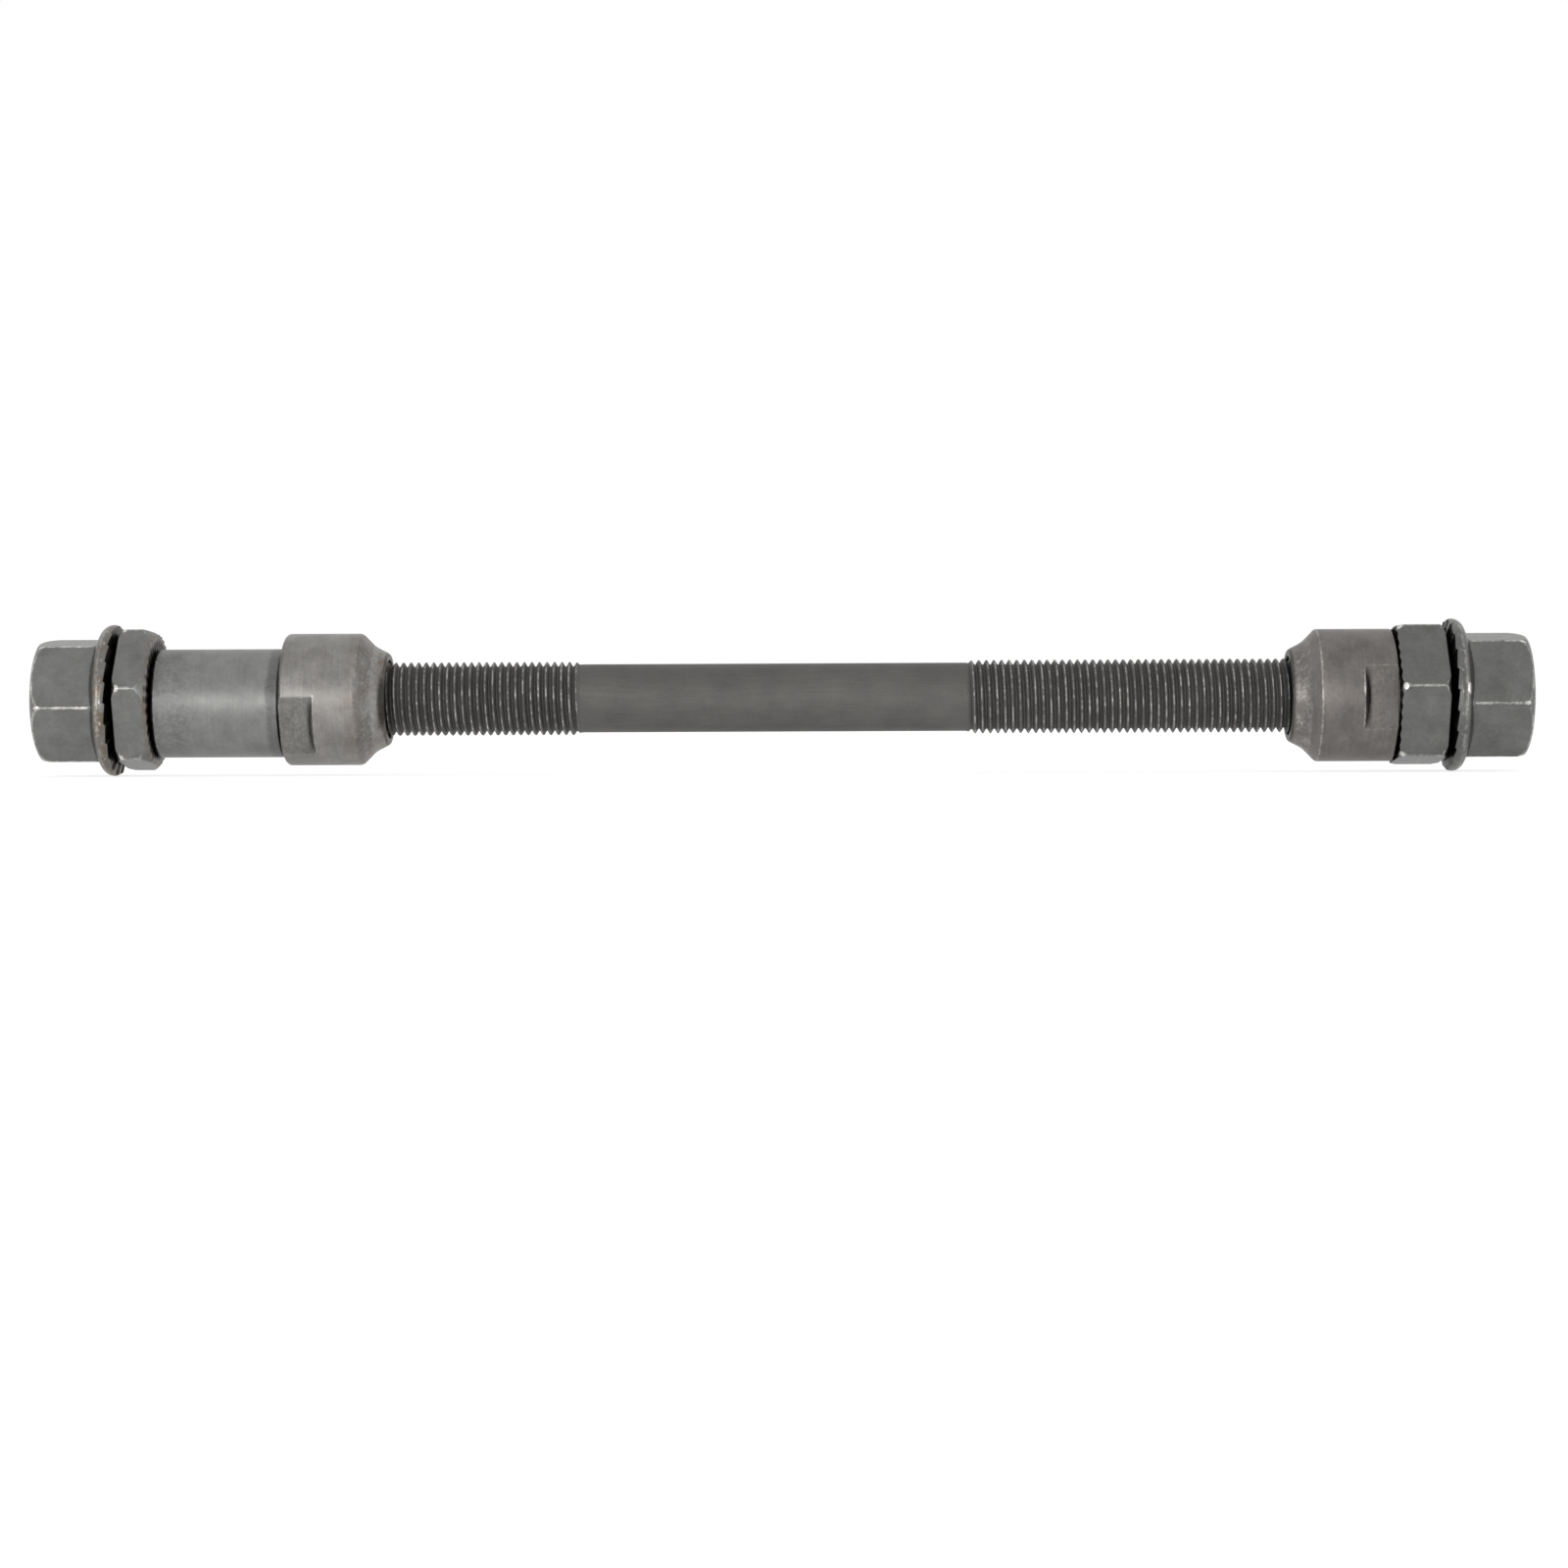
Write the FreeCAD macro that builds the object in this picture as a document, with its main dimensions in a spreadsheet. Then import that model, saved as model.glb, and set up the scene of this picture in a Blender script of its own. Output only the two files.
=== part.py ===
import FreeCAD, Part
import os
import re
import Sketcher

# A solid threaded rear hub axle with its cones, spacer, locknuts and flanged axle nuts.
# Millimetres. The axle lies along X with the long-spacer side at -X, Y points away from
# the front and Z is up. The origin is midway between the locknuts' outer faces.

SIZES = {
    # Where the set sits between the frame's two dropouts
    "over_locknut": 170.0,
    # Threaded axle, 3/8 inch with 26 threads to the inch, drawn as its major diameter, and
    # how far it reaches past the locknut on each side
    "left_axle_reach": 9.8,
    "right_axle_reach": 8.2,
    "thread_diameter": 9.5,
    "thread_clearance": 0.05,
    "end_chamfer": 0.9,
    "shank_diameter": 8.8,
    "shank_length": 50.4,
    "runout_length": 0.7,
    # Bearing cones, the same on both sides
    "cone_length": 13.4,
    "cone_diameter": 17.0,
    "cone_edge": 0.3,
    "race_length": 3.6,
    "race_radius": 9.0,
    "nose_diameter": 12.0,
    "nose_edge": 0.3,
    "mouth_diameter": 10.2,
    "mouth_depth": 1.2,
    "cone_flats_across": 14.85,
    "cone_flats_length": 4.5,
    "left_cone_turn": 27.0,
    "right_cone_turn": 2.0,
    # Spacer tube, loose on the thread, so it hangs from the top of its bore
    "spacer_length": 16.6,
    "spacer_diameter": 14.0,
    "spacer_bore": 10.5,
    "spacer_edge": 0.25,
    # Locknuts, 17 mm spanner size
    "locknut_across": 16.95,
    "left_locknut_height": 4.6,
    "right_locknut_height": 6.4,
    "left_locknut_face": 16.9,
    "right_locknut_face": 17.4,
    "locknut_back_face": 18.2,
    "left_locknut_turn": -9.3,
    "right_locknut_turn": -7.1,
    # Axle nuts with a toothed flange, 15 mm spanner size
    "nut_across": 15.0,
    "nut_height": 10.65,
    "nut_face": 14.0,
    "nut_chamfer_length": 1.35,
    "nut_bore_chamfer": 0.5,
    "flange_diameter": 19.55,
    "flange_height": 2.7,
    "rim_seat_edge": 1.0,
    "rim_back_edge": 0.8,
    "flare_height": 1.1,
    "flare_width": 0.8,
    "tooth_count": 22,
    "tooth_depth": 0.6,
    "tooth_share": 0.86,
    "tooth_overcut": 0.1,
    "left_nut_turn": 6.4,
    "right_nut_turn": 7.3,
    # How far cutters reach past a surface
    "cutter_reach": 1.0,
}

doc = FreeCAD.newDocument("hub_axle")
sheet = doc.addObject("Spreadsheet::Sheet", "Sizes")
for row, (alias, value) in enumerate(SIZES.items(), start=1):
    sheet.set(f"A{row}", alias)
    sheet.set(f"B{row}", str(value))
    sheet.setAlias(f"B{row}", alias)
doc.recompute()

BORE_RADIUS = "(thread_diameter / 2 + thread_clearance)"
ALIAS_WORD = re.compile(r"\b(" + "|".join(SIZES) + r")\b")


def formula(text):
    """The expression for a formula written in the sheet's own words."""
    return ALIAS_WORD.sub(r"Sizes.\1", text)


def bind(feature, prop, text):
    feature.setExpression(prop, formula(text))


def worth(text):
    """What a formula comes to now, as a plain number."""
    return float(sheet.evalExpression(formula(text)))


def new_body(label):
    body = doc.addObject("PartDesign::Body", label)
    body.Label = label
    return body


def origin_part(body, role):
    return next(part for part in body.Origin.OriginFeatures if part.Role == role)


def new_sketch(body, name, plane, offset="0"):
    """A sketch on one of the body's own planes, moved along that plane's normal."""
    sketch = body.newObject("Sketcher::SketchObject", name)
    sketch.AttachmentSupport = [(origin_part(body, plane), "")]
    sketch.MapMode = "FlatFace"
    bind(sketch, "AttachmentOffset.Base.z", offset)
    return sketch


def hold(sketch, edge, end, kind, text):
    """Fixes one coordinate of an edge's end, measured from the sketch's origin."""
    axis = {"DistanceX": -2, "DistanceY": -1}[kind]
    if text == "0":
        sketch.addConstraint(Sketcher.Constraint("PointOnObject", edge, end, axis))
        return
    value = worth(text)
    if value > 0:
        rule = Sketcher.Constraint(kind, -1, 1, edge, end, value)
    else:
        rule = Sketcher.Constraint(kind, edge, end, -1, 1, -value)
        text = f"-({text})"
    number = sketch.addConstraint(rule)
    bind(sketch, f"Constraints[{number}]", text)


def hollow_arc(start, finish, radius):
    """An arc shorter than a half circle, bulging to the right of the way from start to finish."""
    chord = finish - start
    left = FreeCAD.Vector(-chord.y, chord.x, 0).normalize()
    reach = (radius ** 2 - (chord.Length / 2) ** 2) ** 0.5
    centre = (start + finish) * 0.5 + left * reach
    circle = Part.Circle(centre, FreeCAD.Vector(0, 0, 1), radius)
    return Part.ArcOfCircle(circle, circle.parameter(start), circle.parameter(finish))


def draw_outline(sketch, corners):
    """A closed outline. Each corner is (x, y), or (x, y, radius) where a hollow arc starts."""
    points = [FreeCAD.Vector(worth(corner[0]), worth(corner[1]), 0) for corner in corners]
    edges = []
    for index, corner in enumerate(corners):
        start, finish = points[index], points[(index + 1) % len(points)]
        if len(corner) == 2:
            edges.append(sketch.addGeometry(Part.LineSegment(start, finish), False))
        else:
            radius = corner[2]
            arc = sketch.addGeometry(hollow_arc(start, finish, worth(radius)), False)
            number = sketch.addConstraint(Sketcher.Constraint("Radius", arc, worth(radius)))
            bind(sketch, f"Constraints[{number}]", radius)
            edges.append(arc)
    for index, edge in enumerate(edges):
        following = edges[(index + 1) % len(edges)]
        sketch.addConstraint(Sketcher.Constraint("Coincident", edge, 2, following, 1))
    for corner, edge in zip(corners, edges):
        hold(sketch, edge, 1, "DistanceX", corner[0])
        hold(sketch, edge, 1, "DistanceY", corner[1])


def turn(body, name, corners, kind="Revolution"):
    """Turns a half section (distance along the axle, radius) about X, as stock or as a cut."""
    sketch = new_sketch(body, name + "_section", "XY_Plane")
    draw_outline(sketch, corners)
    feature = body.newObject("PartDesign::" + kind, name)
    feature.Profile = sketch
    feature.ReferenceAxis = (sketch, ["H_Axis"])
    feature.Angle = 360
    return feature


def pad_hexagon(body, name, across, start, height):
    """A six-sided bar along X with corners at the front and the back."""
    corner = f"{across} / sqrt(3)"
    half_side = f"{across} / sqrt(3) / 2"
    half_across = f"{across} / 2"
    sketch = new_sketch(body, name + "_section", "YZ_Plane", start)
    draw_outline(sketch, [
        (corner, "0"),
        (half_side, half_across),
        (f"-{half_side}", half_across),
        (f"-{corner}", "0"),
        (f"-{half_side}", f"-{half_across}"),
        (half_side, f"-{half_across}"),
    ])
    pad = body.newObject("PartDesign::Pad", name)
    pad.Profile = sketch
    bind(pad, "Length", height)
    return pad


def bore_through(body, height, far_mouth):
    """The threaded bore, cut along the whole height, with the corners of its far mouth."""
    return turn(body, "bore", [
        ("0", "0"),
        ("0", BORE_RADIUS),
        *far_mouth,
        (height, "0"),
    ], "Groove")


def chamfer_end(body, name, end, face_radius, length, corner_radius, towards):
    """Turns the corners off one end of a hexagon: a cone from the face circle to the corners,
    carried on past them. Towards is + for an end at the top of the bar and - at its foot."""
    slope = f"({length}) / ({corner_radius} - {face_radius})"
    back = "-" if towards == "+" else "+"
    rim = f"{corner_radius} + cutter_reach"
    return turn(body, name, [
        (end, face_radius),
        (f"{end} {towards} cutter_reach", face_radius),
        (f"{end} {towards} cutter_reach", rim),
        (f"{end} {back} {slope} * ({rim} - {face_radius})", rim),
    ], "Groove")


def place(body, distance, turn_angle="0", flipped=False, drop="0"):
    """Stands a ring at a distance along the axle. A flipped ring faces the other way, and the
    turn about the axle brings its front corner or flat down by that angle."""
    facing = "180" if flipped else "0"
    bind(body, "Placement",
         f"placement(vector({distance}; 0; -({drop})); "
         f"rotation(vector(1; 0; 0); {turn_angle}) * rotation(vector(0; 0; 1); {facing}))")


def make_axle():
    """A solid rod with a rolled thread at each end and a plain shank between them."""
    thread = "thread_diameter / 2"
    shank = "shank_diameter / 2"
    length = "(over_locknut + left_axle_reach + right_axle_reach)"
    run = f"({length} - shank_length) / 2"
    body = new_body("axle")
    turn(body, "rod", [
        ("0", "0"),
        ("0", f"{thread} - end_chamfer"),
        ("end_chamfer", thread),
        (f"{run} - runout_length", thread),
        (run, shank),
        (f"{length} - {run}", shank),
        (f"{length} - {run} + runout_length", thread),
        (f"{length} - end_chamfer", thread),
        (length, f"{thread} - end_chamfer"),
        (length, "0"),
    ])
    place(body, "-(over_locknut / 2 + left_axle_reach)")
    return body


def make_cone(label, distance, turn_angle, flipped):
    """A bearing cone: a hollow ball race runs up from the nose to a round body, and the outer
    end has two flats for a thin spanner."""
    body = new_body(label)
    turn(body, "cone", [
        ("0", "mouth_diameter / 2"),
        ("0", "nose_diameter / 2 - nose_edge"),
        ("nose_edge", "nose_diameter / 2", "race_radius"),
        ("race_length", "cone_diameter / 2"),
        ("cone_length - cone_edge", "cone_diameter / 2"),
        ("cone_length", "cone_diameter / 2 - cone_edge"),
        ("cone_length", BORE_RADIUS),
        ("mouth_depth", BORE_RADIUS),
        ("mouth_depth", "mouth_diameter / 2"),
    ])
    reach = "cone_diameter / 2 + cutter_reach"
    flat = "cone_flats_across / 2"
    sketch = new_sketch(body, "flat_section", "YZ_Plane", "cone_length")
    draw_outline(sketch, [
        (flat, f"-({reach})"),
        (reach, f"-({reach})"),
        (reach, reach),
        (flat, reach),
    ])
    pocket = body.newObject("PartDesign::Pocket", "flat")
    pocket.Profile = sketch
    bind(pocket, "Length", "cone_flats_length")
    flats = body.newObject("PartDesign::PolarPattern", "flats")
    flats.Originals = [pocket]
    flats.Axis = (origin_part(body, "X_Axis"), [""])
    flats.Angle = 360
    flats.Occurrences = 2
    body.Tip = flats
    place(body, distance, turn_angle, flipped)
    return body


def make_spacer(label, distance, flipped):
    """A plain cut tube. It hangs from the thread by the top of its wide bore."""
    body = new_body(label)
    outside = "spacer_diameter / 2"
    inside = "spacer_bore / 2"
    turn(body, "tube", [
        ("0", inside),
        ("0", f"{outside} - spacer_edge"),
        ("spacer_edge", outside),
        ("spacer_length - spacer_edge", outside),
        ("spacer_length", f"{outside} - spacer_edge"),
        ("spacer_length", inside),
    ])
    hang = "(spacer_bore - thread_diameter) / 2 - thread_clearance"
    place(body, distance, flipped=flipped, drop=hang)
    return body


def cut_ratchet_teeth(body, rim):
    """Cuts radial gaps all round the face at x = 0. The foot of a gap falls evenly from the axis
    to its depth at the rim, so the gap widens outwards. One wall of a gap stands along the axle
    and the other is a ramp up to the face."""
    fall = f"atan(tooth_depth / ({rim}))"
    gap_angle = "2 * atan(tooth_share * tan(180 deg / tooth_count))"
    ramp = f"({rim}) * tan({gap_angle}) / (tooth_depth * cos({fall}))"
    opening = "tooth_depth * (1 + tooth_overcut)"
    sketch = new_sketch(body, "gap_section", "XZ_Plane")
    bind(sketch, "AttachmentOffset",
         f"placement(vector(0; 0; 0); rotation(vector(1; 0; 0); -({gap_angle}) / 2)"
         f" * rotation(vector(0; 1; 0); {fall}))")
    draw_outline(sketch, [
        ("0", "0"),
        (f"-({opening})", f"-({opening}) * {ramp}"),
        (f"-({opening})", "0"),
    ])
    gap = body.newObject("PartDesign::Pocket", "tooth_gap")
    gap.Profile = sketch
    gap.Reversed = True
    bind(gap, "Length", f"{rim} + cutter_reach")
    teeth = body.newObject("PartDesign::PolarPattern", "teeth")
    teeth.Originals = [gap]
    teeth.Axis = (origin_part(body, "X_Axis"), [""])
    teeth.Angle = 360
    bind(teeth, "Occurrences", "tooth_count")
    body.Tip = teeth


def make_locknut(label, height, face, distance, turn_angle, flipped):
    """A thin hexagon nut, chamfered towards the cone and eased on its back."""
    body = new_body(label)
    corner = "locknut_across / sqrt(3)"
    pad_hexagon(body, "hexagon", "locknut_across", "0", height)
    chamfer_end(body, "front_chamfer", "0", f"{face} / 2", f"{corner} - {face} / 2", corner, "-")
    chamfer_end(body, "back_chamfer", height, "locknut_back_face / 2",
                f"{corner} - locknut_back_face / 2", corner, "+")
    bore_through(body, height, [(height, BORE_RADIUS)])
    place(body, distance, turn_angle, flipped)
    return body


def make_axle_nut(label, distance, turn_angle, flipped):
    """A forged hexagon nut that flares into a round flange with eased edges. Ratchet teeth on the
    flange's face bite when the nut is loosened."""
    body = new_body(label)
    corner = "nut_across / sqrt(3)"
    turn(body, "flange", [
        ("0", "0"),
        ("0", "flange_diameter / 2 - rim_seat_edge"),
        ("rim_seat_edge", "flange_diameter / 2"),
        ("flange_height - rim_back_edge", "flange_diameter / 2"),
        ("flange_height", "flange_diameter / 2 - rim_back_edge"),
        ("flange_height", "nut_across / 2 + flare_width"),
        ("flange_height + flare_height", "nut_across / 2"),
        ("flange_height + flare_height", "0"),
    ])
    pad_hexagon(body, "hexagon", "nut_across", "flange_height / 2", "nut_height - flange_height / 2")
    chamfer_end(body, "end_chamfer", "nut_height", "nut_face / 2", "nut_chamfer_length", corner, "+")
    bore_through(body, "nut_height", [
        ("nut_height - nut_bore_chamfer", BORE_RADIUS),
        ("nut_height", f"{BORE_RADIUS} + nut_bore_chamfer"),
    ])
    cut_ratchet_teeth(body, "flange_diameter / 2")
    place(body, distance, turn_angle, flipped)
    return body


LOCKNUT_BACK = "over_locknut / 2"
LEFT_CONE_END = f"({LOCKNUT_BACK} - left_locknut_height - spacer_length)"
RIGHT_CONE_END = f"({LOCKNUT_BACK} - right_locknut_height)"

bodies = [
    make_axle(),
    make_cone("left_cone", f"-({LEFT_CONE_END} - cone_length)", "left_cone_turn", True),
    make_cone("right_cone", f"{RIGHT_CONE_END} - cone_length", "right_cone_turn", False),
    make_spacer("left_spacer", f"-{LEFT_CONE_END}", True),
    make_locknut("left_locknut", "left_locknut_height", "left_locknut_face",
                 f"-({LOCKNUT_BACK} - left_locknut_height)", "left_locknut_turn", True),
    make_locknut("right_locknut", "right_locknut_height", "right_locknut_face",
                 RIGHT_CONE_END, "right_locknut_turn", False),
    make_axle_nut("left_axle_nut", f"-{LOCKNUT_BACK}", "left_nut_turn", True),
    make_axle_nut("right_axle_nut", LOCKNUT_BACK, "right_nut_turn", False),
]
doc.recompute()

for item in doc.Objects:
    if "Invalid" in item.State or "Error" in item.State:
        raise RuntimeError(f"{item.Label} could not be rebuilt: {item.State}")
for body in bodies:
    if body.Shape.isNull() or not body.Shape.isValid() or len(body.Shape.Solids) != 1:
        raise RuntimeError(f"{body.Label} is not one sound solid")

os.makedirs("parts", exist_ok=True)
for body in bodies:
    body.Shape.exportStep(f"parts/{body.Label}.step")
    print(f"{body.Label}: {body.Shape.Volume:.2f} mm3")
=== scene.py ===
import math

import bpy
import numpy as np
from bpy.props import FloatProperty, FloatVectorProperty, IntProperty, PointerProperty
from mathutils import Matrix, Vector


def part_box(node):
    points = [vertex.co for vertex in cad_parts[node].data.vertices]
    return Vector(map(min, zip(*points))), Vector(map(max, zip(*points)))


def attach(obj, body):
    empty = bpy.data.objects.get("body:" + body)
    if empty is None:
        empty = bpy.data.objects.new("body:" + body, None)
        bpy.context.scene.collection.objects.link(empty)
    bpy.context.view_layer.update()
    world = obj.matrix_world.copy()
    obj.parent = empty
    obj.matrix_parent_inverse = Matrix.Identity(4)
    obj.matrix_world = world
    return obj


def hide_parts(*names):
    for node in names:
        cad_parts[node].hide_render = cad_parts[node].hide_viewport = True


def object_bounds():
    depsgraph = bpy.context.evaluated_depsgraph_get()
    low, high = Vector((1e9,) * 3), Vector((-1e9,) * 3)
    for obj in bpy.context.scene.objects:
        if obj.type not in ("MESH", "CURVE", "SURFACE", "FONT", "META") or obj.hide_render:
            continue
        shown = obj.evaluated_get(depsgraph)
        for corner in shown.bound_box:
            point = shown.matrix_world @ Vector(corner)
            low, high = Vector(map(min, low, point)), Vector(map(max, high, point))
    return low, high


bl_info = {
    "name": "Threaded hub axle",
    "version": (1, 0, 0),
    "blender": (4, 5, 0),
    "location": "3D View > Sidebar > Hub Axle",
    "description": "Models a threaded hub axle with its cones, spacer, locknuts and flanged nuts",
    "category": "Add Mesh",
}

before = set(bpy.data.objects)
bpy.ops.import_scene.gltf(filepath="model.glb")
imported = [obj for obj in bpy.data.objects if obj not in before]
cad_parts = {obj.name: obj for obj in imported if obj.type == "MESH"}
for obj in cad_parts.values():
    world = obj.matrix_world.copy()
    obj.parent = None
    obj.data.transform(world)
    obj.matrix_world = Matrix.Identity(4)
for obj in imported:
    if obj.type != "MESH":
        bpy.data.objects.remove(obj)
cad_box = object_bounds()

MM = 0.001
INCH = 25.4 * MM
FULL_TURN = 2 * math.pi
# Points closer together than this become one
SEAM = 0.001 * MM
# Faces that meet at less than this angle are shaded as one surface
SMOOTH_ANGLE = math.radians(38)
# Width and height of the picture that the camera is set for
PICTURE_PIXELS = 1600
# Small edges that the cones and locknuts share
BORE_CHAMFER = 0.3 * MM
BROKEN_EDGE = 0.15 * MM
# The two sides of the set, and which way their pieces face along the axle
SIDES = (("left", -1), ("right", 1))
# Which way tool marks run: round a turned piece, or along a drawn one
ROUND_THE_AXLE, ALONG_THE_AXLE = (1, 0.06, 0.06), (0.06, 1, 1)

# Where each piece starts and ends along the axle, as the frame has it
SPAN = {node: (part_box(node)[0].x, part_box(node)[1].x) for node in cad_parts}

# Where two pieces meet along the axle, and just outside the noses of the cones
NOSE_ROOM = 0.3 * MM
JOINTS = (
    SPAN["left_axle_nut"][1], SPAN["left_locknut"][1], SPAN["left_spacer"][1],
    SPAN["left_cone"][1] + NOSE_ROOM, SPAN["right_cone"][0] - NOSE_ROOM,
    SPAN["right_cone"][1], SPAN["right_locknut"][1],
)


def linear_colour(hex_code):
    """An sRGB hex colour as linear red, green and blue."""
    channels = (int(hex_code[place:place + 2], 16) / 255 for place in (1, 3, 5))
    return tuple(
        level / 12.92 if level <= 0.04045 else ((level + 0.055) / 1.055) ** 2.4
        for level in channels
    )


def length(name, description, default_mm):
    return FloatProperty(
        name=name, description=description, default=default_mm * MM, unit="LENGTH", precision=5)


def turn_angle(name, description, default_degrees):
    return FloatProperty(
        name=name, description=description, default=math.radians(default_degrees), unit="ROTATION")


def colour(name, description, hex_code):
    return FloatVectorProperty(
        name=name, description=description, default=linear_colour(hex_code), subtype="COLOR",
        min=0.0, max=1.0)


class HubAxleSizes(bpy.types.PropertyGroup):
    """The sizes of the turned, rolled and forged pieces."""

    thread_diameter: length("Thread diameter", "Over the crests of the axle's thread", 9.5)
    thread_pitch: FloatProperty(
        name="Thread pitch", description="26 threads to the inch", default=INCH / 26,
        unit="LENGTH", precision=6)
    thread_depth: length("Thread depth", "From crest to root", 0.6)
    thread_runout: length("Thread run-out", "Over which the thread fades into the shank", 1.1)
    shank_diameter: length("Shank diameter", "The plain middle of the axle", 8.8)
    shank_length: length("Shank length", "The plain middle of the axle", 50.4)
    end_chamfer: length("End chamfer", "On the ends of the axle", 0.9)
    thread_steps: IntProperty(
        name="Thread steps", description="Points round each turn of the thread", default=60)

    bore_diameter: length("Bore", "Of the nuts, locknuts and cones, over the thread", 9.6)
    cone_diameter: length("Cone diameter", "The round body of a bearing cone", 17.0)
    nose_diameter: length("Nose diameter", "The small end of the ball race", 12.2)
    mouth_diameter: length("Mouth diameter", "The counterbore in the cone's nose", 10.2)
    mouth_depth: length("Mouth depth", "The counterbore in the cone's nose", 1.2)
    race_length: length("Race length", "From the nose to the shoulder", 3.5)
    race_hollow: length("Race hollow", "Radius of the hollow in the ball race", 3.2)
    left_cone_edge: length("Left cone edge", "Rounding of its outer end", 0.9)
    right_cone_edge: length("Right cone edge", "Rounding of its outer end", 0.2)
    left_cone_shoulder: length("Left cone shoulder", "Rounding beside its race", 1.0)
    right_cone_shoulder: length("Right cone shoulder", "Rounding beside its race", 0.5)
    left_cone_gap: length("Left cone gap", "Between the outer end and what it presses on", 0.08)
    right_cone_gap: length("Right cone gap", "Between the outer end and what it presses on", 0.25)
    cone_boss: length("Cone boss", "Diameter of the pressing face at its outer end", 14.2)
    cone_flats: length("Cone flats", "Across the two spanner flats", 14.85)
    cone_flats_length: length("Cone flats length", "From the cone's outer end", 4.5)
    scoop_run: length("Scoop run", "Of the sloping wall where the flats end", 0.75)
    left_cone_turn: turn_angle("Left cone turn", "How far its flat faces down from the front", 27.0)
    right_cone_turn: turn_angle("Right cone turn", "How far its flat faces down from the front", 2.0)

    spacer_diameter: length("Spacer diameter", "Outside of the spacer tube", 14.0)
    spacer_bore: length("Spacer bore", "Inside of the spacer tube", 10.5)
    spacer_chamfer: length("Spacer chamfer", "On the end towards the locknut", 0.5)

    locknut_across: length("Locknut across flats", "17 mm spanner size", 16.95)
    left_locknut_face: length("Left locknut face", "Round face towards the spacer", 16.9)
    right_locknut_face: length("Right locknut face", "Round face towards the cone", 18.26)
    left_locknut_chamfer: length("Left locknut chamfer", "Its run from the round face", 1.33)
    right_locknut_chamfer: length("Right locknut chamfer", "Its run from the round face", 1.0)
    locknut_back_face: length("Locknut back face", "Round face towards the axle nut", 18.2)
    locknut_boss: length("Locknut boss", "Diameter of the raised ring on the back face", 14.8)
    boss_height: length("Boss height", "Of the raised ring on the back face", 0.2)
    grip_count: IntProperty(
        name="Grip serrations", description="Fine radial grooves on a locknut's face", default=36)
    grip_depth: length("Grip depth", "Of the fine radial grooves", 0.18)
    grip_reach: length("Grip reach", "How far the grooves run up the edge of the face", 0.4)
    left_locknut_turn: turn_angle("Left locknut turn", "Its front corner, down", -9.3)
    right_locknut_turn: turn_angle("Right locknut turn", "Its front corner, down", -7.1)

    nut_across: length("Axle nut across flats", "15 mm spanner size", 15.0)
    flange_height: length("Flange height", "From the seat to the back of the rim", 2.45)
    bead_radius: length("Bead radius", "Of the round rim of the flange", 1.3)
    seat_dish: length("Seat dish", "How far the toothed seat falls away towards the rim", 0.55)
    flare_height: length("Flare height", "The hollow run from the rim up to the flats", 0.9)
    dome_length: length("Dome length", "The rounded-off outer end of a nut", 2.1)
    dome_radius: length("Dome radius", "The rounded-off outer end of a nut", 2.2)
    tooth_count: IntProperty(
        name="Ratchet teeth", description="On the seat of a flanged nut", default=22)
    tooth_depth: length("Tooth depth", "At the rim", 0.24)
    left_nut_turn: turn_angle("Left nut turn", "Its front corner, down", 6.4)
    right_nut_turn: turn_angle("Right nut turn", "Its front corner, down", 7.3)
    left_tooth_turn: turn_angle("Left tooth turn", "A step of its teeth, down", 2.3)
    right_tooth_turn: turn_angle("Right tooth turn", "A step of its teeth, down", -4.5)

    edge_round: length("Edge rounding", "Worn corners between spanner flats", 0.2)
    surface_step: length("Surface step", "Spacing of points along a turned surface", 0.15)
    lathe_steps: IntProperty(
        name="Lathe steps", description="Points round a turned piece, a multiple of 6, 22 and 36",
        default=396)
    spacer_steps: IntProperty(
        name="Spacer steps", description="Points round the plain spacer tube", default=192)


class HubAxleFinishes(bpy.types.PropertyGroup):
    """The colours of the steel finishes."""

    # The left nut steel is painted lighter than the right one for the brighter light on the left side
    left_nut_steel: colour("Left nut steel", "Grey phosphate on forged steel, rubbed pale", "#737371")
    right_nut_steel: colour("Right nut steel", "Grey phosphate on forged steel", "#696967")
    axle_steel: colour("Axle steel", "Dark oiled steel of the rolled axle", "#686765")
    left_cone_steel: colour("Left cone steel", "Hardened steel, wiped clean", "#878582")
    right_cone_steel: colour("Right cone steel", "Hardened steel with a warm cast", "#6f6b68")
    spacer_steel: colour("Spacer steel", "Tumbled steel tube", "#80807e")
    bare_steel: colour("Bare steel", "Where corners are rubbed bright", "#dcdad6")
    heat_tint: colour("Heat tint", "Brown tint left by hardening", "#6d5c4b")
    # Also the black of the painted shadow in gaps, joints, cone mouths and scoops
    old_oil: colour("Old oil", "Blackened oil in the joints", "#0b0a0a")


def own(group, side, name):
    """A size or finish that the left and right piece each have their own of."""
    return getattr(group, f"{side}_{name}")


def start_of(node, facing):
    """Where along the axle a piece that faces that way has its own start."""
    return SPAN[node][0] if facing > 0 else SPAN[node][1]


def soft_min(first, second, width):
    """The lesser of two lengths, rounded over where they cross."""
    overlap = max(width - abs(first - second), 0.0) / width
    return min(first, second) - overlap * overlap * width / 4


def soft_max(first, second, width):
    """The greater of two lengths, rounded over where they cross."""
    return -soft_min(-first, -second, width)


def ease(share):
    """0 below 0, 1 above 1 and an even S between them."""
    share = min(max(share, 0.0), 1.0)
    return share * share * (3 - 2 * share)


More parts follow.
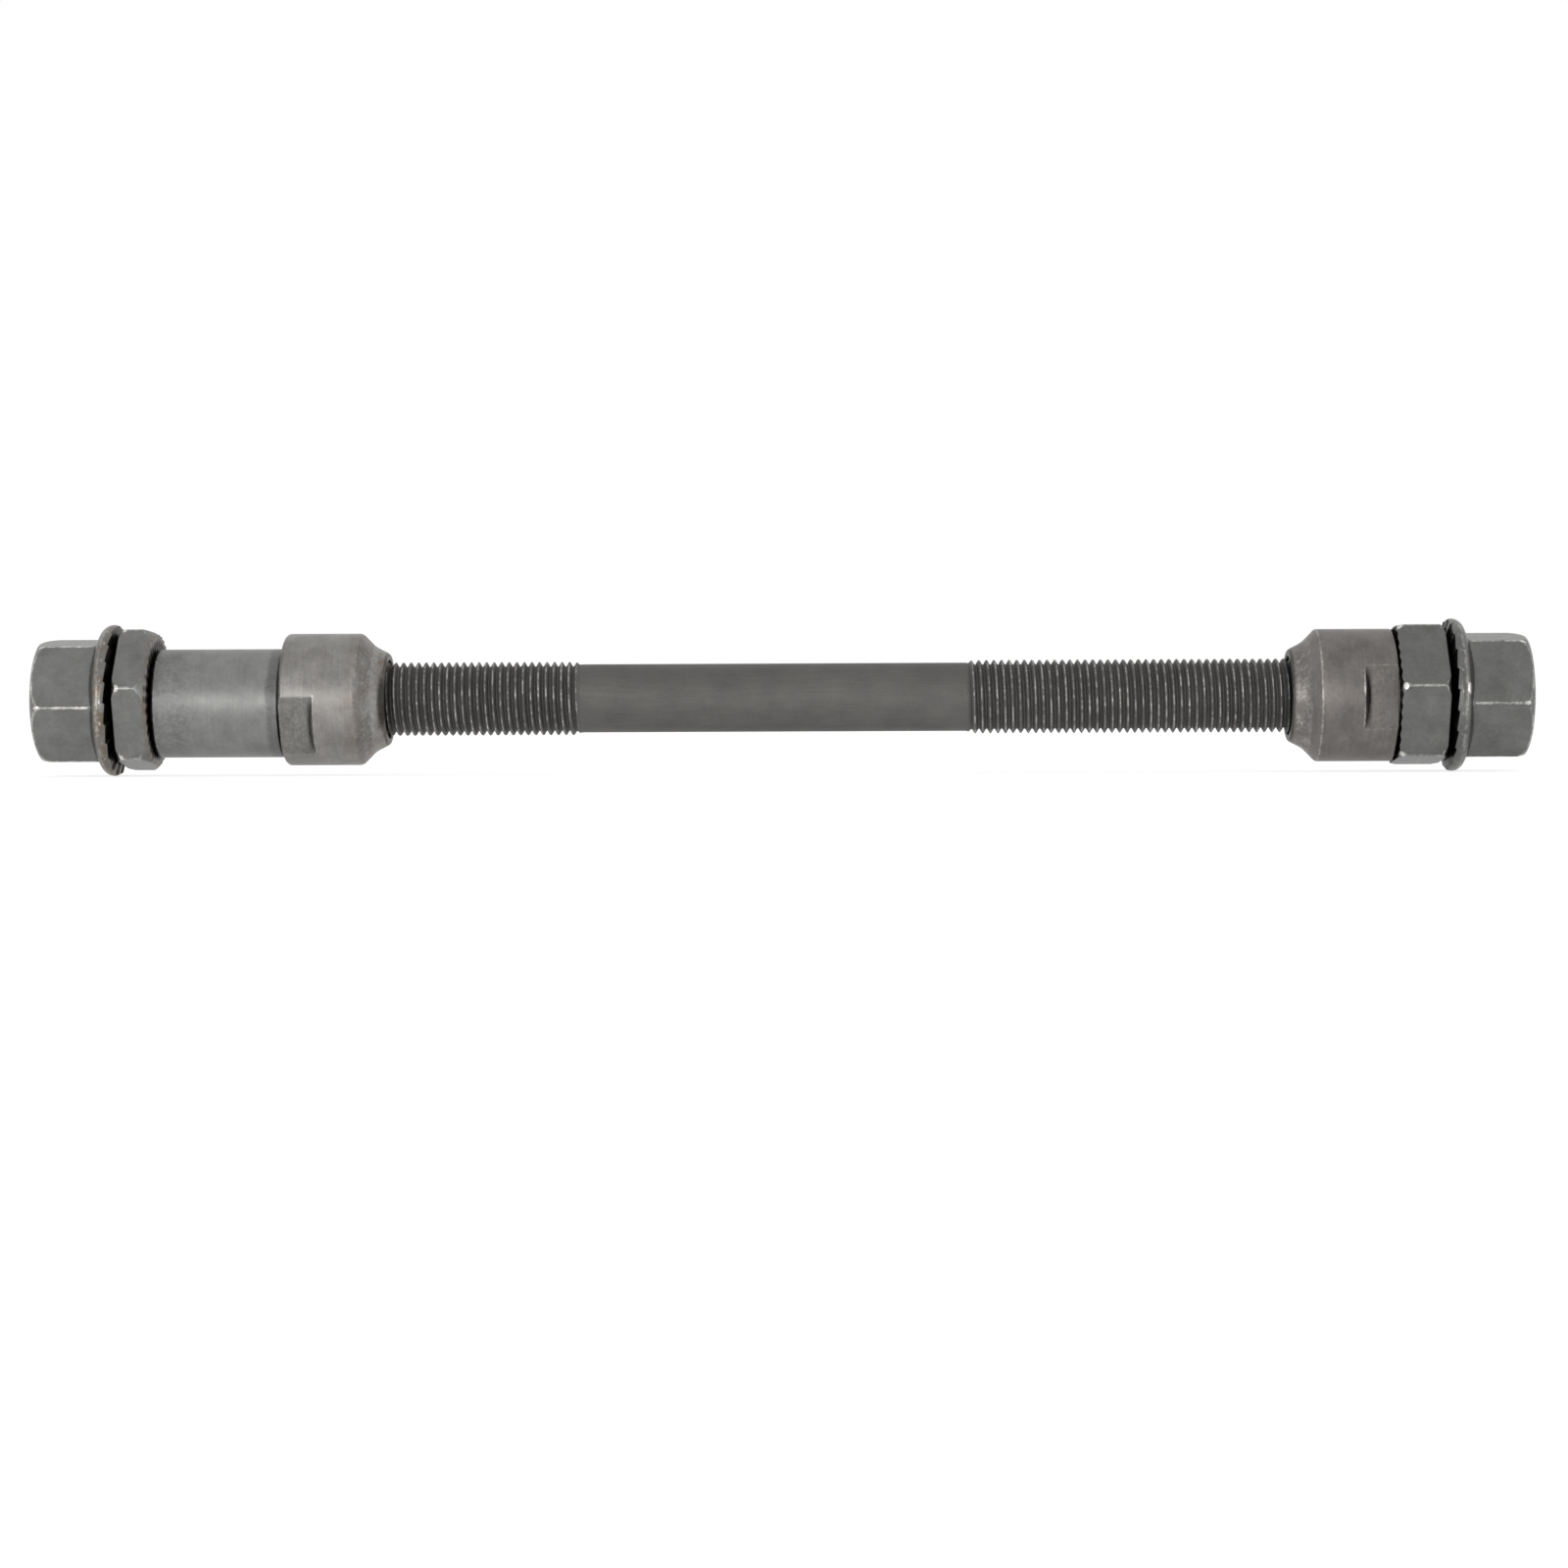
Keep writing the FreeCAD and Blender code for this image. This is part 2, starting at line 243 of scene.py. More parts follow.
def rounded(corners, points_per_arc=5):
    """A section whose corners (along, radius, rounding) are eased by arcs of that radius."""
    section = []
    for index, (along, radius, rounding) in enumerate(corners):
        here = Vector((along, radius))
        if rounding == 0 or index in (0, len(corners) - 1):
            section.append(here)
            continue
        towards = [Vector(corners[index + side][:2]) - here for side in (-1, 1)]
        half_corner = towards[0].angle(towards[1]) / 2
        # An arc takes up just under half of each side at most
        reach = min(rounding / math.tan(half_corner), *(0.49 * way.length for way in towards))
        start, finish = (here + way.normalized() * reach for way in towards)
        bisector = (towards[0].normalized() + towards[1].normalized()).normalized()
        centre = here + bisector * (reach / math.cos(half_corner))
        for place in range(points_per_arc + 1):
            spoke = (start - centre).lerp(finish - centre, place / points_per_arc)
            section.append(centre + spoke.normalized() * (start - centre).length)
    return section


def divided(section, step, bore):
    """The section with its straight runs outside the bore divided into even steps."""
    fine = [section[0]]
    for start, finish in zip(section, section[1:]):
        hidden = max(start.y, finish.y) <= bore
        count = 1 if hidden else max(1, round((finish - start).length / step))
        fine += [start.lerp(finish, place / count) for place in range(1, count + 1)]
    return fine


def begin_section(name, start):
    """Starts a new piece in edit mode as a single point of its section, at (along, radius)."""
    bpy.ops.object.select_all(action="DESELECT")
    bpy.ops.mesh.primitive_plane_add(size=MM)
    piece = bpy.context.active_object
    piece.name = piece.data.name = name
    bpy.ops.object.mode_set(mode="EDIT")
    bpy.ops.mesh.select_all(action="SELECT")
    bpy.ops.mesh.merge(type="CENTER")
    bpy.ops.transform.translate(value=(start.x, -start.y, 0))
    return piece


def draw_section(section):
    """Extrudes the selected point along the rest of the section and leaves edit mode."""
    for start, finish in zip(section, section[1:]):
        way = finish - start
        bpy.ops.mesh.extrude_vertices_move(TRANSFORM_OT_translate={"value": (way.x, -way.y, 0)})
    bpy.ops.object.mode_set(mode="OBJECT")


def sweep_round(piece, steps, pitch=0.0, turns=1):
    """Sweeps a piece's section round the axle, moving one pitch along it each turn."""
    sweep = piece.modifiers.new("sweep", "SCREW")
    sweep.axis = "X"
    sweep.screw_offset = pitch
    sweep.iterations = turns
    sweep.steps = sweep.render_steps = steps
    sweep.use_merge_vertices = True
    sweep.merge_threshold = SEAM
    bpy.ops.object.modifier_apply(modifier=sweep.name)


def close_surface(cuts=()):
    """Joins the active piece's seams and trims it at (place along the axle, way outwards)."""
    bpy.ops.object.mode_set(mode="EDIT")
    bpy.ops.mesh.select_all(action="SELECT")
    bpy.ops.mesh.remove_doubles(threshold=SEAM)
    for place, outwards in cuts:
        bpy.ops.mesh.select_all(action="SELECT")
        bpy.ops.mesh.bisect(
            plane_co=(place, 0, 0), plane_no=(outwards, 0, 0), use_fill=True, clear_outer=True,
            threshold=SEAM)
    bpy.ops.mesh.select_all(action="SELECT")
    bpy.ops.mesh.normals_make_consistent(inside=False)
    bpy.ops.object.mode_set(mode="OBJECT")


def ring_the_ends(piece, width):
    """Insets the flat ends of the active piece, so that wear on their rims stays on the rims."""
    bpy.ops.object.mode_set(mode="EDIT")
    bpy.ops.mesh.select_all(action="DESELECT")
    bpy.ops.object.mode_set(mode="OBJECT")
    most_side_corners = 8
    for face in piece.data.polygons:
        face.select = len(face.vertices) > most_side_corners
    bpy.ops.object.mode_set(mode="EDIT")
    bpy.ops.mesh.select_mode(type="FACE")
    bpy.ops.mesh.inset(thickness=width)
    bpy.ops.mesh.select_mode(type="VERT")
    bpy.ops.object.mode_set(mode="OBJECT")


def turn_on_lathe(name, section, origin, facing, steps):
    """Spins a closed section (distance from the piece's own start, radius) round the axle."""
    placed = [Vector((origin + facing * corner.x, corner.y)) for corner in section]
    piece = begin_section(name, placed[0])
    draw_section(placed)
    sweep_round(piece, steps)
    close_surface()
    return piece


def reshape(piece, origin, facing, rule):
    """Moves each point to where the rule puts it. The rule takes and gives the distance from the
    piece's own start, the radius and the angle down from the front."""
    for point in piece.data.vertices:
        x, y, z = point.co
        along, radius, angle = rule(
            (x - origin) * facing, math.hypot(y, z), math.atan2(-z, -y))
        point.co = (
            origin + facing * along, -radius * math.cos(angle), -radius * math.sin(angle))


def flats_reach(angle, across, sides, edge):
    """How far out a bar with flats reaches, at an angle measured from one of its corners."""
    side = FULL_TURN / sides
    off_middle = abs(angle % side - side / 2)
    flat = across / 2 / math.cos(off_middle)
    next_flat = across / 2 / math.cos(side - off_middle)
    return soft_min(flat, next_flat, edge)


def drawn_to_corners(angle, sides, first_corner):
    """Gathers evenly spread angles closer together near the corners of a bar with flats."""
    pull = 0.6
    return angle - pull / sides * math.sin(sides * (angle - first_corner))


def ring_marks(along, marks):
    """How strongly rings (place along the axle, reach, strength) mark each point."""
    level = np.zeros(len(along))
    for place, reach, strength in marks:
        level = np.maximum(level, strength * np.clip(3 - 3 * np.abs(along - place) / reach, 0, 1))
    return level


def spot_marks(places, spots):
    """How strongly small spots mark each point. A spot is its place along the axle, its angle down
    from the front, how many of it there are round the axle, its reach along the axle and round it,
    and its strength."""
    angle = np.arctan2(-places[:, 2], -places[:, 1])
    radius = np.hypot(*places[:, 1:].T)
    level = np.zeros(len(places))
    for place, first, count, along_reach, round_reach, strength in spots:
        apart = FULL_TURN / count
        off_angle = (angle - first + apart / 2) % apart - apart / 2
        off_spot = np.hypot((places[:, 0] - place) / along_reach, off_angle * radius / round_reach)
        level = np.maximum(level, strength * np.clip(2 - 2 * off_spot, 0, 1))
    return level


def milled_marks(places, uncut, start, end, scoop):
    """How much dark film lies on flats cut into a round body, most of the darkening being painted
    shade in the scoop they end in.
    """
    flat_film, full_flat = 0.32, 0.1 * MM
    scoop_film, full_scoop, scoop_reach = 0.5, 0.8 * MM, 0.6 * MM
    along = places[:, 0]
    depth = uncut - np.hypot(*places[:, 1:].T)
    depth[(along < min(start, end)) | (along > max(start, end))] = 0
    in_scoop = np.clip(1 - np.abs(along - scoop) / scoop_reach, 0, 1)
    film = flat_film * np.clip(depth / full_flat, 0, 1)
    return film + scoop_film * in_scoop * np.clip(depth / full_scoop, 0, 1)


def crept_marks(places, normals, joints, strength, widest):
    """How much crept oil and painted shadow lie on faces that look at the joints, out to a widest
    radius.
    """
    fading_run, joint_reach = 0.5 * MM, 2.2 * MM
    least_facing, facing_run = 0.74, 0.16
    crept = strength * np.clip((widest - np.hypot(*places[:, 1:].T)) / fading_run, 0, 1)
    level = np.zeros(len(places))
    for joint in joints:
        off_joint = places[:, 0] - joint
        facing_it = np.clip((-np.sign(off_joint) * normals[:, 0] - least_facing) / facing_run, 0, 1)
        level = np.maximum(level, crept * facing_it * (np.abs(off_joint) < joint_reach))
    return level


def outward_bends(mesh, places, normals):
    """How sharply the surface bends outwards at each point, per mm, evened out with its neighbours."""
    count = len(places)
    ends = np.empty(len(mesh.edges) * 2, dtype=np.int32)
    mesh.edges.foreach_get("vertices", ends)
    first, second = ends.reshape(-1, 2).T
    uses = np.bincount(ends, minlength=count)

    def gathered(to_first, to_second):
        return np.bincount(first, to_first, count) + np.bincount(second, to_second, count)

    way = places[second] - places[first]
    bend = ((normals[second] - normals[first]) * way).sum(axis=1) / (way ** 2).sum(axis=1)
    bend = gathered(bend, bend) / uses * MM
    return (bend + gathered(bend[second], bend[first]) / uses) / 2


def note_wear(piece, joints=(), joint_oil=1.0, oil_radius=1.0, stains=(), grime=(), tints=(),
              rubs=(), spots=(), shelter=0.0, handling=1.0, most_wear=1.3, milled=None):
    """Stores how sharply each point stands proud, where handling rubs the steel bright and where rubs
    and spots mark it, some of them painted sheens and highlights, how deep it lies in a hollow for the
    painted shade there, how much blackened oil and painted shadow lie on it and how strongly heat has
    tinted it."""
    mesh = piece.data
    count = len(mesh.vertices)
    places, normals = np.empty(count * 3), np.empty(count * 3)
    mesh.vertices.foreach_get("co", places)
    mesh.vertex_normals.foreach_get("vector", normals)
    places, normals = places.reshape(count, 3), normals.reshape(count, 3)
    along = places[:, 0]

    bend = outward_bends(mesh, places, normals)
    proud = handling * np.minimum(bend, most_wear)
    for joint in JOINTS:
        proud[np.abs(along - joint) < shelter] = 0
    proud = np.maximum(proud, ring_marks(along, rubs))
    proud = np.maximum(proud, spot_marks(places, spots))
    oil = np.maximum(ring_marks(along, stains), spot_marks(places, grime))
    oil = np.maximum(oil, crept_marks(places, normals, joints, joint_oil, oil_radius))
    if milled:
        oil = np.maximum(oil, milled_marks(places, *milled))
    tint = ring_marks(along, tints)
    for name, values in (
            ("proud", proud), ("hollow", -bend), ("old_oil", oil), ("heat_tint", tint)):
        layer = mesh.attributes.new(name, "FLOAT", "POINT")
        layer.data.foreach_set("value", values)


def finish_piece(piece, material, body, node, slot, **marks):
    """Shades a piece, gives it its steel and sets it in the place of its node."""
    bpy.ops.object.select_all(action="DESELECT")
    piece.select_set(True)
    bpy.context.view_layer.objects.active = piece
    close_surface()
    bpy.ops.object.shade_smooth_by_angle(angle=SMOOTH_ANGLE)
    note_wear(piece, **marks)
    piece.data.materials.append(material)
    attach(piece, body)
    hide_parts(node)


def add_node(tree, kind, sockets=(), **settings):
    """Adds a node with its settings. Its sockets are given in order or by name, each as a number, a
    colour, an output of another node, or that node itself for the output in use."""
    node = tree.nodes.new(kind)
    for name, value in settings.items():
        setattr(node, name, value)
    for name, value in sockets.items() if isinstance(sockets, dict) else enumerate(sockets):
        if isinstance(value, bpy.types.Node):
            value = next(output for output in value.outputs if output.enabled)
        if isinstance(value, bpy.types.NodeSocket):
            tree.links.new(value, node.inputs[name])
        else:
            node.inputs[name].default_value = value
    return node


def worn_steel(name, steel, finishes, roughness, cloud_mm, cloud_depth, tint, wear_from, speckle,
               patchy=0.25, streaks=None, streak_depth=0.0):
    """Steel with a cloudy grey skin, rubbed bright where it stands proud, its bare steel also painting
    sheens and highlights, brown where heat has tinted it, darkened by painted shade in hollows and
    black with oil and painted shadow in its joints."""
    material = bpy.data.materials.new(name)
    material.use_nodes = True
    tree = material.node_tree
    shader = tree.nodes["Principled BSDF"]
    shader.inputs["Metallic"].default_value = 1.0
    bare_steel = (*finishes.bare_steel, 1)
    place = add_node(tree, "ShaderNodeTexCoord").outputs["Object"]
    proud, hollow, old_oil, heat_tint = (
        add_node(tree, "ShaderNodeAttribute", attribute_name=mark).outputs["Fac"]
        for mark in ("proud", "hollow", "old_oil", "heat_tint"))
    # The size of each pattern in mm, with its detail and roughness
    grain, clouds, patches, touches, specks = (
        add_node(tree, "ShaderNodeTexNoise", {
            "Vector": place, "Scale": 1 / (size * MM), "Detail": detail, "Roughness": rough})
        for size, detail, rough in (
            (0.45, 4.0, 0.7), (cloud_mm, 5.0, 0.62), (2.5, 5.0, 0.7), (1.6, 3.0, 0.6),
            (0.2, 2.0, 0.5)))

    # The skin: clouds of grey over a fine grain, darkened by painted shade in hollows
    cloudy = add_node(tree, "ShaderNodeMapRange", (clouds, 0.3, 0.7, 1 - cloud_depth, 1 + cloud_depth))
    grain_depth = cloud_depth * 0.6
    grainy = add_node(tree, "ShaderNodeMapRange", (grain, 0.3, 0.7, 1 - grain_depth, 1 + grain_depth))
    tone = add_node(tree, "ShaderNodeMath", (cloudy, grainy), operation="MULTIPLY")
    if streaks:
        # Fine tool marks, 0.25 mm apart
        stretch = add_node(tree, "ShaderNodeMapping", {"Vector": place, "Scale": streaks})
        lines = add_node(tree, "ShaderNodeTexNoise", {
            "Vector": stretch, "Scale": 1 / (0.25 * MM), "Detail": 3.0, "Roughness": 0.6})
        lined = add_node(tree, "ShaderNodeMapRange", (
            lines, 0.3, 0.7, 1 - streak_depth, 1 + streak_depth))
        tone = add_node(tree, "ShaderNodeMath", (tone, lined), operation="MULTIPLY")
    # Painted shade: the tone falls to 0.72 where the surface bends inwards
    shaded = add_node(tree, "ShaderNodeMapRange", (hollow, 0.2, 2.0, 1.0, 0.72))
    tone = add_node(tree, "ShaderNodeMath", (tone, shaded), operation="MULTIPLY")
    skin = add_node(tree, "ShaderNodeMix", {"Factor": 1.0, "A": (*steel, 1), "B": tone},
                    data_type="RGBA", blend_type="MULTIPLY")

    # Brown heat tint in wide patches
    patchwork = add_node(tree, "ShaderNodeMapRange", (patches, 0.42, 0.66, 0.0, 1.0))
    tinted = add_node(tree, "ShaderNodeMath", (heat_tint, tint), operation="ADD")
    tinted = add_node(tree, "ShaderNodeMath", (patchwork, tinted), operation="MULTIPLY")
    skin = add_node(tree, "ShaderNodeMix", {
        "Factor": tinted, "A": skin, "B": (*finishes.heat_tint, 1)}, data_type="RGBA")

    # Bare metal in specks, and where touches have rubbed what stands proud, which also paints the
    # marked sheens and highlights
    handled = add_node(tree, "ShaderNodeMapRange", (touches, 0.36, 0.62, 0.9 - patchy, 0.9 + patchy))
    gritty = add_node(tree, "ShaderNodeMapRange", (grain, 0.3, 0.7, 0.45, 1.35))
    rubbed = add_node(tree, "ShaderNodeMath", (handled, gritty), operation="MULTIPLY")
    rubbed = add_node(tree, "ShaderNodeMath", (proud, rubbed), operation="MULTIPLY")
    wear = add_node(tree, "ShaderNodeMapRange", (rubbed, wear_from, wear_from * 4.5, 0.0, 0.8))
    skin = add_node(tree, "ShaderNodeMix", {"Factor": wear, "A": skin, "B": bare_steel},
                    data_type="RGBA")
    specked = add_node(tree, "ShaderNodeMapRange", (specks, 0.66, 0.78, 0.0, speckle))
    skin = add_node(tree, "ShaderNodeMix", {"Factor": specked, "A": skin, "B": bare_steel},
                    data_type="RGBA")

    # Old oil, and painted shadow in the same black, which leave gaps where they lie thin
    thin_film = add_node(tree, "ShaderNodeMapRange", (grain, 0.35, 0.65, 0.0, 0.2))
    oiled = add_node(tree, "ShaderNodeMapRange", (old_oil, thin_film, 1.0, 0.0, 1.0))
    skin = add_node(tree, "ShaderNodeMix", {
        "Factor": oiled, "A": skin, "B": (*finishes.old_oil, 1)}, data_type="RGBA")
    tree.links.new(skin.outputs["Result"], shader.inputs["Base Color"])

    # Rubbed metal is smoother than the skin, and the grain stands 0.03 mm high
    dull = add_node(tree, "ShaderNodeMapRange", (grain, 0.3, 0.7, roughness - 0.06, roughness + 0.06))
    polished = add_node(tree, "ShaderNodeMix", {"Factor": wear, "A": dull, "B": 0.27})
    tree.links.new(polished.outputs["Result"], shader.inputs["Roughness"])
    bump = add_node(tree, "ShaderNodeBump", {
        "Height": grain, "Strength": 0.3, "Distance": 0.03 * MM})
    tree.links.new(bump.outputs["Normal"], shader.inputs["Normal"])
    return material


class HUBAXLE_OT_axle(bpy.types.Operator):
    """Rolls the thread along a solid axle and leaves its middle plain"""

    bl_idname = "hubaxle.axle"
    bl_label = "Threaded axle"

    def execute(self, context):
        sizes, finishes = context.scene.hub_axle_sizes, context.scene.hub_axle_finishes
        start, end = SPAN["axle"]
        middle = (start + end) / 2
        crest, shank = sizes.thread_diameter / 2, sizes.shank_diameter / 2
        root = crest - sizes.thread_depth
        pitch = sizes.thread_pitch
        # One pitch of a rounded 60 degree thread, from root to root
        form = [(0.0, root), (0.1, root + 0.03 * MM), (0.37, crest - 0.1 * MM),
                (0.43, crest - 0.025 * MM), (0.5, crest), (0.57, crest - 0.025 * MM),
                (0.63, crest - 0.1 * MM), (0.9, root + 0.03 * MM), (1.0, root)]
        section = [Vector((start + (share - 1) * pitch, radius)) for share, radius in form]
        piece = begin_section("axle_rod", section[0])
        draw_section(section)
        turns = math.ceil((end - start) / pitch) + 2
        sweep_round(piece, sizes.thread_steps, pitch, turns)
        close_surface(((start, -1), (end, 1)))

        def rule(along, radius, angle):
            off_shank = abs(along) - sizes.shank_length / 2
            radius = shank + (radius - shank) * ease(off_shank / sizes.thread_runout + 0.5)
            to_end = (end - start) / 2 - abs(along)
            return along, min(radius, crest - sizes.end_chamfer + to_end), angle

        reshape(piece, middle, 1, rule)
        end_rim, nose_stain = 0.4 * MM, 0.7 * MM
        ring_the_ends(piece, end_rim)
        # Rolled steel, dark with oil, its crests rubbed to bright flecks
        steel = worn_steel("oiled_rolled_steel", finishes.axle_steel, finishes, roughness=0.68,
                           cloud_mm=5, cloud_depth=0.12, tint=0.05, wear_from=1.8, speckle=0.12,
                           patchy=0.65, streaks=ALONG_THE_AXLE, streak_depth=0.06)
        # Dark rings of old oil on the thread at the cone noses, which also paint the shade in the
        # cones' mouths
        stains = [(SPAN["left_cone"][1], nose_stain, 0.6), (SPAN["right_cone"][0], nose_stain, 0.5)]
        finish_piece(piece, steel, "axle_set", "axle", "axle_steel", stains=stains, most_wear=9.0)
        return {"FINISHED"}


# How the two cones have aged, each in its own way, and the light painted on them: the bend at which
# the skin wears through, brown heat tint, dark film near the shoulder, the rubbed ring's share of the
# way up the race and its strength, that ring also painting a sheen on the race, painted shade on the
# front of the nose, and the painted highlight where the flats start, as a spot without its place along
# the axle
CONE_AGEING = {
    "left": {
        "wear_from": 0.4, "brown": 0.35, "film": 0.3, "rub_share": 0.55, "rub": 0.5, "grime": 0.8,
        "glint": (0.0, 1, 0.22 * MM, 0.8 * MM, 1.4)},
    "right": {
        "wear_from": 0.35, "brown": 0.0, "film": 0.0, "rub_share": 0.42, "rub": 0.5, "grime": 0.0,
        "glint": (math.radians(-7), 1, 0.2 * MM, 2.2 * MM, 1.5)},
}


class HUBAXLE_OT_cones(bpy.types.Operator):
    """Turns the two bearing cones and mills their spanner flats"""

    bl_idname = "hubaxle.cones"
    bl_label = "Bearing cones"

    def execute(self, context):
        sizes, finishes = context.scene.hub_axle_sizes, context.scene.hub_axle_finishes
        body, bore = sizes.cone_diameter / 2, sizes.bore_diameter / 2
        mouth, nose = sizes.mouth_diameter / 2, sizes.nose_diameter / 2
        boss, flat = sizes.cone_boss / 2, sizes.cone_flats / 2
        race = sizes.race_length
        fall = (body - flat) / sizes.scoop_run
        scoop_foot, flat_edge = 0.15 * MM, 0.06 * MM
        for side, facing in SIDES:
            node = side + "_cone"
            origin = start_of(node, facing)
            total = SPAN[node][1] - SPAN[node][0]
            outer_end = total - own(sizes, side, "cone_gap")
            corners = [
                (sizes.mouth_depth, bore, 0),
                (sizes.mouth_depth, mouth, 0),
                (0, mouth, BROKEN_EDGE),
                (0, nose - 0.3 * MM, 0.3 * MM),
                (0.45 * MM, nose, 0.5 * MM),
                (0.53 * race, nose + 0.3 * (body - nose), sizes.race_hollow),
                (race, body, own(sizes, side, "cone_shoulder")),
                (outer_end, body, own(sizes, side, "cone_edge")),
                (outer_end, boss, 0),
                (total, boss, 0),
                (total, bore + BORE_CHAMFER, 0),
                (total - BORE_CHAMFER, bore, 0),
                (sizes.mouth_depth, bore, 0),
            ]
            section = divided(rounded(corners), sizes.surface_step, bore)
            piece = turn_on_lathe(side + "_bearing_cone", section, origin, facing, sizes.lathe_steps)
            flats_start = total - sizes.cone_flats_length
            first_flat = own(sizes, side, "cone_turn")

            def rule(along, radius, angle):
                if along < flats_start or radius < bore + MM:
                    return along, radius, angle
                # Kept above 0, far to the side of the flats
                lean = max(abs(math.cos(angle - first_flat)), 0.05)
                wall = radius * lean - (along - flats_start) * fall
                height = soft_max(flat, wall, scoop_foot)
                return along, soft_min(radius, height / lean, flat_edge), angle

            def at(distance):
                return origin + facing * distance

            reshape(piece, origin, facing, rule)
            ageing = CONE_AGEING[side]
            brown = ageing["brown"]
            # Hardened steel with a satin turned skin, a bright shoulder and brown heat marks
            steel = worn_steel(side + "_hardened_turned_steel", own(finishes, side, "cone_steel"),
                               finishes, roughness=0.44, cloud_mm=3.5, cloud_depth=0.2,
                               tint=0.2 * brown, wear_from=ageing["wear_from"], speckle=0.1,
                               streaks=ROUND_THE_AXLE, streak_depth=0.08)
            # Painted shade as old oil in the nose's mouth, on the front of the nose, in the scoop
            # where the flats end and on the right cone's outer face; a painted highlight where the
            # flats start; the rubbed ring paints a sheen on the race
            finish_piece(
                piece, steel, side + "_cone", node, "cone_steel",
                joints=[SPAN["right_cone"][1]], joint_oil=0.7, shelter=1.0 * MM, handling=0.7,
                stains=[(origin, 0.4 * MM, 0.6), (at(0.75 * race), 1.1 * MM, ageing["film"])],
                grime=[(at(0.35 * MM), math.radians(5), 1, 0.75 * MM, 5.5 * MM, ageing["grime"])],
                rubs=[(at(ageing["rub_share"] * race), 1.3 * MM, ageing["rub"])],
                spots=[(at(flats_start - 0.05 * MM), *ageing["glint"])],
                tints=[(at(race), 1.8 * MM, brown), (origin, 1.2 * MM, 2 * brown)],
                milled=(body, at(flats_start), at(total), at(flats_start + 0.4 * MM)))
        return {"FINISHED"}


class HUBAXLE_OT_spacer(bpy.types.Operator):
    """Cuts the spacer tube and hangs it on the thread"""

    bl_idname = "hubaxle.spacer"
    bl_label = "Spacer tube"

    def execute(self, context):
        sizes, finishes = context.scene.hub_axle_sizes, context.scene.hub_axle_finishes
        start, end = SPAN["left_spacer"]
        outside, inside = sizes.spacer_diameter / 2, sizes.spacer_bore / 2
        corners = [
            (0, inside, 0),
            (0, outside - 0.5 * sizes.spacer_chamfer, 0),
            (sizes.spacer_chamfer, outside, 0.1 * MM),
            (end - start, outside, 0.25 * MM),
            (end - start, inside, 0),
            (0, inside, 0),
        ]
        section = divided(rounded(corners), sizes.surface_step, inside)
        piece = turn_on_lathe("spacer_tube", section, start, 1, sizes.spacer_steps)
        low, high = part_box("left_spacer")
        bpy.ops.object.mode_set(mode="EDIT")
        bpy.ops.mesh.select_all(action="SELECT")
        bpy.ops.transform.translate(value=(0, 0, (low.z + high.z) / 2))
        bpy.ops.object.mode_set(mode="OBJECT")
        # Drawn tube, tumbled to a pale satin grey, with painted shade where the cone meets it
        steel = worn_steel("tumbled_tube_steel", finishes.spacer_steel, finishes, roughness=0.45,
                           cloud_mm=2.5, cloud_depth=0.14, tint=0.0, wear_from=0.6, speckle=0.12,
                           streaks=ROUND_THE_AXLE, streak_depth=0.05)
        rim = 0.35 * MM
        # Painted shadow as black rings in the gaps at both ends, a light painted shade over the left
        # end, and painted shade deepening towards the cone, with a spot of it over the front
        finish_piece(piece, steel, "axle_set", "left_spacer", "spacer_steel", joints=JOINTS,
                     joint_oil=0.85,
                     stains=[(start, rim, 1.0), (start, 6 * MM, 0.2), (end, 2.0 * MM, 0.36),
                             (end, rim, 1.0)],
                     grime=[(end - 1.0 * MM, math.radians(-8), 1, 1.1 * MM, 4.5 * MM, 0.42)])
        return {"FINISHED"}


def nut_steel(side, finishes):
    """Forged steel with a grey phosphate skin, its corners rubbed to bare metal; the left copy is
    painted lighter for the brighter light on its side.
    """
    name = side + "_phosphated_forged_steel"
    return bpy.data.materials.get(name) or worn_steel(
        name, own(finishes, side, "nut_steel"), finishes, roughness=0.38, cloud_mm=3,
        cloud_depth=0.16, tint=0.03, wear_from=0.3, speckle=0.05)


